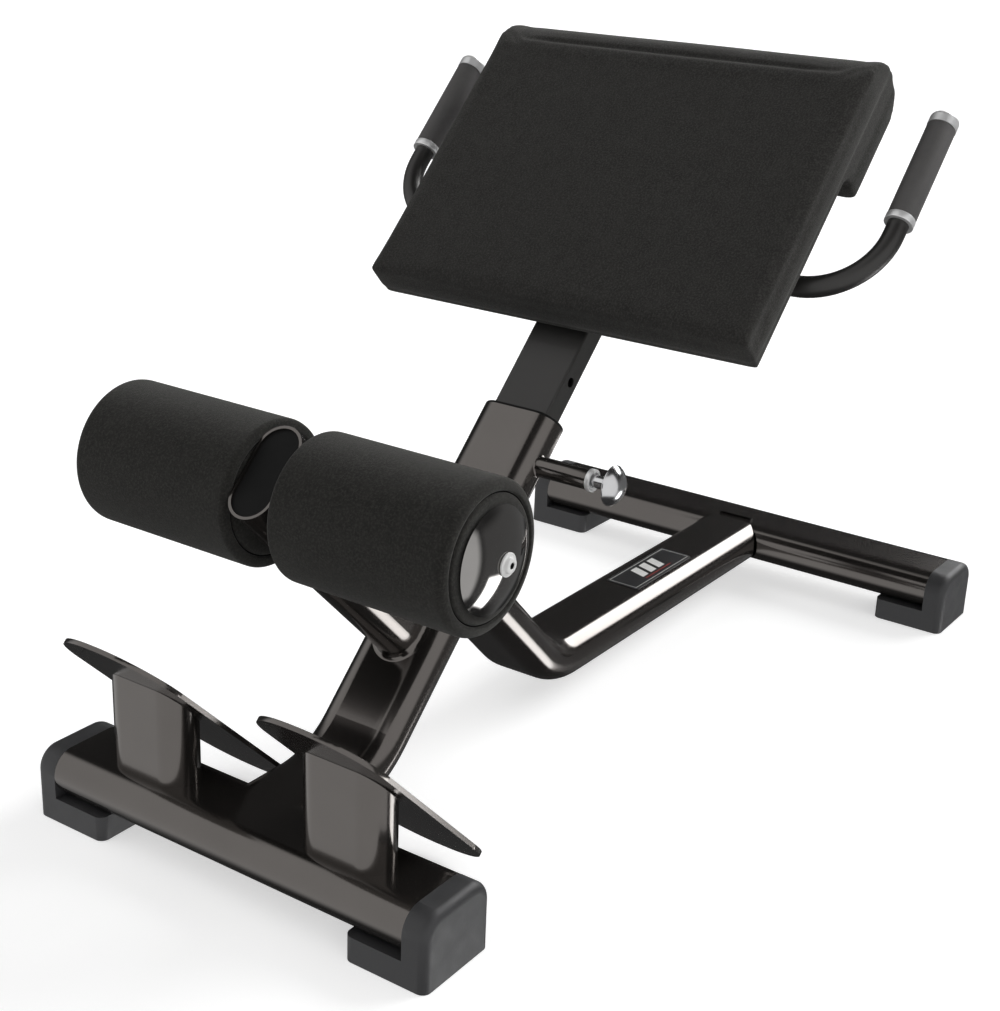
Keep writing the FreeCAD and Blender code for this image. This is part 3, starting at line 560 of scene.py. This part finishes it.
def applied(piece, kind, **settings):
    """Add one modifier and keep its result."""
    modifier = piece.modifiers.new(kind.lower(), kind)
    for name, value in settings.items():
        setattr(modifier, name, value)
    shown = piece.evaluated_get(bpy.context.evaluated_depsgraph_get())
    mesh = bpy.data.meshes.new_from_object(shown)
    piece.modifiers.clear()
    old, piece.data = piece.data, mesh
    bpy.data.meshes.remove(old)


def make_thigh_pad():
    """The stuffed pad: a firm foam wedge in a suede cover, with a crease under its upper roll."""
    low, high = leaning_box("thigh_pad")
    board_low, board_high = leaning_box("pad_board")
    mesh = nodes["thigh_pad"].data.copy()
    mesh.transform(LEANING.inverted())
    pad = bpy.data.objects.new("thigh_pad_cover", mesh)
    bpy.context.scene.collection.objects.link(pad)
    voxel = 0.0045
    applied(pad, "WELD", merge_threshold=SAME_POINT)
    applied(pad, "REMESH", mode="VOXEL", voxel_size=voxel, adaptivity=0)
    applied(pad, "SMOOTH", factor=0.5, iterations=4)

    back = board_low.z
    held_deep, held_beyond = 0.016, 0.012

    def on_board(co):
        """Round the board's bed, where the cover is pulled tight and stapled."""
        return abs(co.z - back) < held_deep and co.x < board_high.x + held_beyond

    cover, pressure, most = 0.0015, 1.6, 0.0022
    for vertex, normal in [(v, v.normal.copy()) for v in pad.data.vertices]:
        if not on_board(vertex.co):
            vertex.co += normal * cover
    swell(pad, on_board, pressure, most)
    applied(pad, "SMOOTH", factor=0.5, iterations=2)
    applied(pad, "SUBSURF", levels=1, render_levels=1)

    # Smoothing draws the corners in; this gives the photographed width and lower edge back.
    wider, longer = 1.012, 0.003
    span = high.x - low.x
    for vertex in pad.data.vertices:
        vertex.co.y *= wider
        vertex.co.x -= longer * (1 - (vertex.co.x - low.x) / span)

    # The crease across the face: a groove between a low lip and a fuller roll, fading at both ends.
    crease = low.x + 0.376
    face = high.z - 0.03
    plain_end, fading_end = 0.03, 0.05

    def bell(off, centre, wide, tall):
        return math.exp(-(((off - centre) / wide) ** 2)) * tall

    for vertex in pad.data.vertices:
        co = vertex.co
        if co.z < face:
            continue
        off = co.x - crease
        fade = min(1, max(0, (high.y - plain_end - abs(co.y)) / fading_end))
        groove = bell(off, 0, 0.0042, 0.0034)
        lip = bell(off, -0.016, 0.010, 0.0010)
        roll = bell(off, 0.018, 0.012, 0.0014)
        rumple = noise.noise(Vector((co.x * 14, co.y * 9, 3.1))) * 0.0006
        co.z += (lip + roll - groove) * fade + rumple
    pad.data.shade_smooth()
    pad.matrix_world = LEANING
    dress(pad, "upholstery", "pad_carriage")
    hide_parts("thigh_pad")


def make_roller_covers():
    """Foam sleeves in a sewn cover, with a stitched ring near the rim of each end."""
    low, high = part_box("roller_foam_left")
    core_low, core_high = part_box("roller_core_left")
    bore = (core_high.x - core_low.x) / 2
    inset = 0.0012
    near, far = low.y + inset, high.y - inset
    radius = (high.x - low.x) / 2 - inset
    ring = radius * 0.83
    wide, deep = 0.0016, 0.0034
    floor = wide * 0.3

    def groove(height, inward):
        """The groove of the stitched ring, from its inner edge to its outer one."""
        dip = height + inward * deep
        return [(ring - wide, height), (ring - floor, dip), (ring + floor, dip), (ring + wide, height)]

    inner_corner, outer_corner = 0.005, 0.009
    edge = rounded(
        [(bore, near), (radius, near), (radius, far), (bore, far)], [0, inner_corner, outer_corner, 0], 7)
    ends = edge[:1] + groove(near, 1) + edge[1:-1] + groove(far, -1)[::-1] + edge[-1:]
    steps, gap = 104, 0.0052
    profile = spaced(ends, gap)
    pressure, most = 2.0, 0.0020
    outside, thread_radius = 0.02, 0.0009
    for side, sign in SIDES.items():
        cover = new_piece(f"roller_cover_{side}", turned_shape(profile, steps), 180)
        cover.matrix_world = axle_matrix("roller_axle", sign)
        swell(cover, lambda co: math.hypot(co.x, co.y) < bore + 0.001, pressure, most)
        applied(cover, "SUBSURF", levels=1, render_levels=1)
        cover.data.shade_smooth()
        bpy.context.view_layer.update()
        skin = surface_of(cover)
        for place, start, ahead in (("inner", near - outside, 1), ("outer", far + outside, -1)):
            thread = []
            for step in range(steps):
                angle = 2 * math.pi * step / steps
                above = Vector((ring * math.cos(angle), ring * math.sin(angle), start))
                found = skin.ray_cast(above, Vector((0, 0, ahead)))[0]
                thread.append(axle_matrix("roller_axle", sign) @ found)
            seam = thread_along(f"roller_seam_{place}_{side}", thread, thread_radius)
            dress(seam, "foam", f"roller_{side}", "seam_thread_and_painted_shade")
        dress(cover, "foam", f"roller_{side}")
        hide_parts(f"roller_foam_{side}")


make_thigh_pad()
make_roller_covers()


# ------------------------------------------------------------------ turned fittings

def make_end_caps():
    """Polished domes with a rolled rim, a washer and a socket screw, at both ends; a black disc in each
    socket is painted shade, and the pale washer and screw head are a painted reflection.
    """
    low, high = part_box("roller_dome_left")
    radius = (high.x - low.x) / 2
    rim, crown = low.y, high.y
    rise = crown - rim
    curve = (radius ** 2 + rise ** 2) / (2 * rise)
    bore, lip, rings = 0.004, 0.0012, 24
    dome_profile = [
        (radius - 0.003, rim - lip * 0.2), (radius - 0.0012, rim - lip),
        (radius - 0.0002, rim - lip * 0.6), (radius + 0.0002, rim),
    ]
    for k in range(1, rings):
        r = radius * (1 - k / rings)
        dome_profile.append((max(r, bore), crown - curve + math.sqrt(curve ** 2 - r ** 2)))
    dome_profile += [(bore, crown - 0.002), (radius - 0.006, rim)]
    washer_low, washer_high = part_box("dome_washer_left")
    washer_radius = (washer_high.x - washer_low.x) / 2
    base, face = washer_low.y, washer_high.y
    washer_profile = rounded(
        [(bore, base), (washer_radius, base), (washer_radius, face), (bore, face)], [0, 0.0003, 0.0006, 0], 4)
    head_low, head_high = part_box("dome_bolt_left")
    head_radius = (head_high.x - head_low.x) / 2
    top = head_high.y
    socket, centre = 0.0032, 0.0004
    head_profile = [
        (0.0005, face - 0.001), (head_radius, face), (head_radius, top - 0.0016),
        (head_radius - 0.0005, top - 0.0006), (head_radius - 0.0016, top),
        (socket + 0.0006, top), (socket, top - 0.0004), (socket, face + 0.0008), (centre, face + 0.0004),
    ]
    sunk, thin = 0.0007, 0.0005
    shadow_profile = [
        (centre, top - sunk - thin), (socket, top - sunk - thin), (socket, top - sunk), (centre, top - sunk),
    ]
    for side, sign in SIDES.items():
        spot = axle_matrix("roller_axle", sign)
        # A black disc just inside each socket's mouth is painted shade in the hole.
        shadow = new_piece(f"end_socket_shade_{side}", turned_shape(shadow_profile, 48, False, (1, 2)), 30)
        shadow.matrix_world = spot
        dress(shadow, "black_plastic", "frame", "seam_thread_and_painted_shade")
        # The washer and the screw head take a pale, nearly matt finish, a painted reflection in place of
        # their chrome and steel.
        for name, node, profile, steps, slot, look, closed, facets, angle in (
            ("dome", "roller_dome", dome_profile, 128, "dark_chrome", "dark_chrome", True, (), 35),
            ("washer", "dome_washer", washer_profile, 64, "chrome", "pale_painted_reflection", True, (), 35),
            ("bolt", "dome_bolt", head_profile, 48, "steel", "pale_painted_reflection", False, (6, 7), 30),
        ):
            piece = new_piece(f"end_{name}_{side}", turned_shape(profile, steps, closed, facets), angle)
            piece.matrix_world = spot
            dress(piece, slot, "frame", look)
            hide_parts(f"{node}_{side}")


make_end_caps()


# ------------------------------------------------------------------ details on the frame

for node, width in (
    ("foot_plate_left", 0.0010), ("foot_plate_right", 0.0010),
    ("foot_cap_front_left", 0.0016), ("foot_cap_front_right", 0.0016),
    ("foot_cap_rear_left", 0.0016), ("foot_cap_rear_right", 0.0016),
    ("pad_bracket_left", 0.0008), ("pad_bracket_right", 0.0008),
    ("spine_bush", 0.0008), ("pop_pin_barrel", 0.0006), ("pop_pin_collar", 0.0006),
    ("grip_left", 0.0008), ("grip_right", 0.0008),
    ("grip_collar_left", 0.0005), ("grip_collar_right", 0.0005),
    ("name_plate", 0.0003),
):
    soften(node, width)

for side in SIDES:
    weld(f"weld_foot_plate_{side}", f"foot_post_{side}", f"foot_plate_{side}", 0.003)
    weld(f"weld_bracket_{side}", f"pad_bracket_{side}", "pad_post", 0.002, "pad_carriage", "post_paint")
    weld(f"weld_handle_{side}", f"pad_bracket_{side}", "handle_bar", 0.002, "pad_carriage", "post_paint")
for name, node, other, radius in (
    ("weld_strut", "roller_strut", "spine_tube", 0.008),
    ("weld_lower_rear", "lower_tube", "rear_crossbar", 0.004),
    ("weld_lower_spine", "lower_tube", "spine_tube", 0.005),
    ("weld_barrel", "pop_pin_barrel", "spine_tube", 0.003),
):
    weld(name, node, other, radius)


def flat_shape(outline, low, high):
    """A thin plate from a flat outline, in the row frame's XY."""
    def make(work):
        lower = [work.verts.new((x, y, low)) for x, y in outline]
        upper = [work.verts.new((x, y, high)) for x, y in outline]
        work.faces.new(lower[::-1])
        work.faces.new(upper)
        for k in range(len(outline)):
            nxt = (k + 1) % len(outline)
            work.faces.new((lower[k], lower[nxt], upper[nxt], upper[k]))
    return make


def make_plate_marks():
    """A thin border, three slanted bars and a fine rule on the plain plate."""
    low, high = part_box("name_plate")
    centre = middle("name_plate")
    top = high.z
    half_x, half_y = (high.x - low.x) / 2, (high.y - low.y) / 2
    silver, red = [], []

    def patch(x0, x1, y0, y1, into, slant=0.0):
        outline = [
            (centre.x + x0, centre.y + y0), (centre.x + x1, centre.y + y0),
            (centre.x + x1 + slant, centre.y + y1), (centre.x + x0 + slant, centre.y + y1),
        ]
        into.append(new_piece("patch", flat_shape(outline, top - 0.0001, top + 0.0002)))

    inset, line = 0.0035, 0.0007
    x1, y1 = half_x - inset, half_y - inset
    patch(-x1, x1, y1 - line, y1, silver)
    patch(-x1, x1, -y1, -y1 + line, silver)
    patch(-x1, -x1 + line, -y1, y1, silver)
    patch(x1 - line, x1, -y1, y1, silver)
    bar, gap, tall, slant, raised = 0.015, 0.007, 0.025, 0.008, 0.003
    for k in range(3):
        start = (k - 1.5) * (bar + gap) + gap / 2 - slant / 2
        patch(start, start + bar, -tall / 2 + raised, tall / 2 + raised, silver, slant)
    rule_reach, rule_low, rule_high = 0.034, -0.0150, -0.0138
    patch(-rule_reach, rule_reach, rule_low, rule_high, red)
    for name, patches, look in (
        ("plate_marks", silver, moulded("plate_white", (0.72, 0.72, 0.7), 0.5)),
        ("plate_rule", red, moulded("plate_red", (0.35, 0.03, 0.02), 0.45)),
    ):
        marks = joined(name, patches)
        marks.data.materials.append(look.material)
        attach(marks, "frame")


make_plate_marks()


# ------------------------------------------------------------------ back of the pad

def make_pad_back():
    """The cover's edge turned over the board, and the row of staples that holds it."""
    board_low, board_high = leaning_box("pad_board")
    back = board_low.z
    thick, wide, bulge, sunk = 0.0014, 0.026, 0.0003, 0.0004
    top = back - thick
    inside_x = board_high.x - 0.002
    clear = leaning_box("pad_post")[1].y + 0.006

    def strip(name, points):
        """A turned-in hem along points; each is (along, across, inward along, inward across)."""
        def make(work):
            rows = []
            for x, y, dx, dy in points:
                wave = 1 + 0.10 * noise.noise(Vector((x * 60, y * 60, 0.5)))
                inner_x, inner_y = x + dx * wide * wave, y + dy * wide * wave
                rows.append([
                    work.verts.new((x, y, back + sunk)), work.verts.new((x, y, top)),
                    work.verts.new(((x + inner_x) / 2, (y + inner_y) / 2, top - bulge)),
                    work.verts.new((inner_x, inner_y, top + bulge)),
                    work.verts.new((inner_x, inner_y, back + sunk)),
                ])
            for row, after in zip(rows, rows[1:]):
                for a in range(len(row)):
                    b = (a + 1) % len(row)
                    work.faces.new((row[a], row[b], after[b], after[a]))
            work.faces.new(rows[0])
            work.faces.new(rows[-1][::-1])
        piece = new_piece(name, make, 50)
        piece.matrix_world = LEANING
        return piece

    def row(x0, y0, x1, y1, dx, dy):
        """Points of a straight hem, from one end to the other."""
        count = 40
        shares = [k / count for k in range(count + 1)]
        return [(x0 + (x1 - x0) * share, y0 + (y1 - y0) * share, dx, dy) for share in shares]

    x0, y1 = board_low.x, board_high.y
    hems = [
        strip("hem_a", row(x0, -y1, inside_x, -y1, 0, 1)),
        strip("hem_b", row(x0, y1, inside_x, y1, 0, -1)),
        strip("hem_c", row(x0, -y1, x0, -clear, 1, 0)),
        strip("hem_d", row(x0, clear, x0, y1, 1, 0)),
    ]
    dress(joined("cover_hem", hems), "upholstery", "pad_carriage")

    staples = []
    length, wire, proud, driven = 0.010, 0.0006, 0.0008, 0.0002

    def staple(x, y, along):
        """One staple's crown, lying along the slope or across it."""
        sx, sy = (length / 2, wire) if along else (wire, length / 2)
        outline = [(x - sx, y - sy), (x + sx, y - sy), (x + sx, y + sy), (x - sx, y + sy)]
        piece = new_piece("staple", flat_shape(outline, top - proud, top + driven))
        piece.matrix_world = LEANING
        staples.append(piece)

    set_in, first = wide * 0.55, 0.02
    along_run = inside_x - x0 - 2 * first
    across_run = y1 - clear - 0.05
    for sign in (-1, 1):
        for k in range(9):
            staple(x0 + first + k * along_run / 8, sign * (y1 - set_in), True)
        for k in range(6):
            staple(x0 + set_in, sign * (clear + first + k * across_run / 5), False)
    dress(joined("cover_staples", staples), "steel", "pad_carriage")


make_pad_back()


# ------------------------------------------------------------------ stage, lights and camera

def make_stage():
    """A white floor that catches soft shadows and doesn't show in reflections."""
    work = bmesh.new()
    bmesh.ops.create_grid(work, x_segments=1, y_segments=1, size=60)
    mesh = bpy.data.meshes.new("floor")
    work.to_mesh(mesh)
    work.free()
    floor = bpy.data.objects.new("floor", mesh)
    floor.location.z = -0.0005
    bpy.context.scene.collection.objects.link(floor)
    floor.visible_glossy = floor.visible_diffuse = floor.visible_shadow = False
    look = Look("floor", (0.8, 0.8, 0.8), specular_ior_level=0.1, emission_strength=0.55)
    look.shader.inputs["Roughness"].default_value = 0.9
    look.shader.inputs["Emission Color"].default_value = (1, 1, 1, 1)
    mesh.materials.append(look.material)


def sun(name, direction, strength, angle):
    """A far soft light; direction points from the object to the light."""
    lamp = bpy.data.lights.new(name, "SUN")
    lamp.energy = strength
    lamp.angle = math.radians(angle)
    holder = bpy.data.objects.new(name, lamp)
    holder.rotation_mode = "QUATERNION"
    holder.rotation_quaternion = Vector(direction).to_track_quat("Z", "Y")
    holder.visible_glossy = False
    bpy.context.scene.collection.objects.link(holder)


def make_world():
    """A dark studio with soft white cards for the reflections; plain white behind the floor's edge.

    Each card is a soft-edged patch of sky: azimuth from and to, elevation from and to, strength
    and the softness of its edge. Azimuth is measured from +X towards +Y.
    """
    cards = (
        ((88, 200), (-44, 72), 0.92, 12),
        ((-200, -74), (-44, 50), 0.92, 4),
        ((-32, 16), (22, 46), 8.0, 2),
        ((-70, 5), (-45, 12), 0.12, 6),
        ((-58, -37), (-49, -28), 6.0, 1.5),
    )
    ambient = 0.035
    soft_light = 0.16
    world = bpy.data.worlds.new("studio")
    bpy.context.scene.world = world
    world.use_nodes = True
    tree = world.node_tree
    shade = next(n for n in tree.nodes if n.type == "BACKGROUND")
    out = next(n for n in tree.nodes if n.type == "OUTPUT_WORLD")

    def maths(kind, first, second=None):
        """One arithmetic node; each input is a number or a socket."""
        made = tree.nodes.new("ShaderNodeMath")
        made.operation = kind
        for slot, value in enumerate((first, second)):
            if isinstance(value, (int, float)):
                made.inputs[slot].default_value = value
            elif value is not None:
                tree.links.new(value, made.inputs[slot])
        return made.outputs[0]

    def window(value, start, end, blur):
        """One between start and end degrees, and zero outside, with a soft edge."""
        sides = []
        edge = math.radians(blur)
        for low, high in ((math.radians(start) - edge, math.radians(start) + edge),
                          (math.radians(end) + edge, math.radians(end) - edge)):
            made = tree.nodes.new("ShaderNodeMapRange")
            made.interpolation_type = "SMOOTHSTEP"
            made.inputs["From Min"].default_value = low
            made.inputs["From Max"].default_value = high
            tree.links.new(value, made.inputs["Value"])
            sides.append(made.outputs["Result"])
        return maths("MULTIPLY", *sides)

    where = tree.nodes.new("ShaderNodeTexCoord")
    split = tree.nodes.new("ShaderNodeSeparateXYZ")
    tree.links.new(where.outputs["Generated"], split.inputs[0])
    azimuth = maths("ARCTAN2", split.outputs["Y"], split.outputs["X"])
    elevation = maths("ARCSINE", split.outputs["Z"])
    total = ambient
    for across, upward, strength, blur in cards:
        patch = maths("MULTIPLY", window(azimuth, *across, blur), window(elevation, *upward, blur))
        total = maths("ADD", maths("MULTIPLY", patch, strength), total)
    ray = tree.nodes.new("ShaderNodeLightPath")
    mirrored = maths("MULTIPLY", total, ray.outputs["Is Glossy Ray"])
    scattered = maths("MULTIPLY", ray.outputs["Is Diffuse Ray"], soft_light)
    tree.links.new(maths("ADD", mirrored, scattered), shade.inputs["Strength"])
    plain = tree.nodes.new("ShaderNodeBackground")
    plain.inputs["Strength"].default_value = 1.0
    plain.inputs["Color"].default_value = (1, 1, 1, 1)
    shade.inputs["Color"].default_value = (1, 1, 1, 1)
    mix = tree.nodes.new("ShaderNodeMixShader")
    tree.links.new(ray.outputs["Is Camera Ray"], mix.inputs["Fac"])
    tree.links.new(shade.outputs[0], mix.inputs[1])
    tree.links.new(plain.outputs[0], mix.inputs[2])
    tree.links.new(mix.outputs[0], out.inputs["Surface"])


def make_camera():
    """A view down on the foot end and the near side, with the photograph's framing."""
    azimuth, elevation, roll = (math.radians(a) for a in (-55.90, 20.95, 2.23))
    flat = math.cos(elevation)
    back = Vector((math.sin(azimuth) * flat, -math.cos(azimuth) * flat, math.sin(elevation)))
    right = Vector((0, 0, 1)).cross(back).normalized()
    up = back.cross(right)
    right_rolled = math.cos(roll) * right + math.sin(roll) * up
    up_rolled = -math.sin(roll) * right + math.cos(roll) * up
    camera = bpy.data.objects.new("camera", bpy.data.cameras.new("camera"))
    place = (-1.6655, -1.06455, 1.01561)
    turned = Matrix((right_rolled, up_rolled, back)).transposed().to_4x4()
    camera.matrix_world = Matrix.Translation(place) @ turned
    camera.data.sensor_width = 36
    camera.data.lens = 60.8
    camera.data.clip_start, camera.data.clip_end = 0.02, 200
    bpy.context.scene.collection.objects.link(camera)
    bpy.context.scene.camera = camera


bpy.context.scene.view_settings.view_transform = "Standard"
make_stage()
make_world()
sun("key", (-0.30, 0.45, 0.84), 0.7, 62)
sun("rim", (0.77, -0.36, 0.52), 2.0, 42)
sun("fill", (-0.15, -0.95, 0.27), 1.05, 90)
sun("bounce", (-0.60, -0.10, -0.79), 0.75, 60)
make_camera()
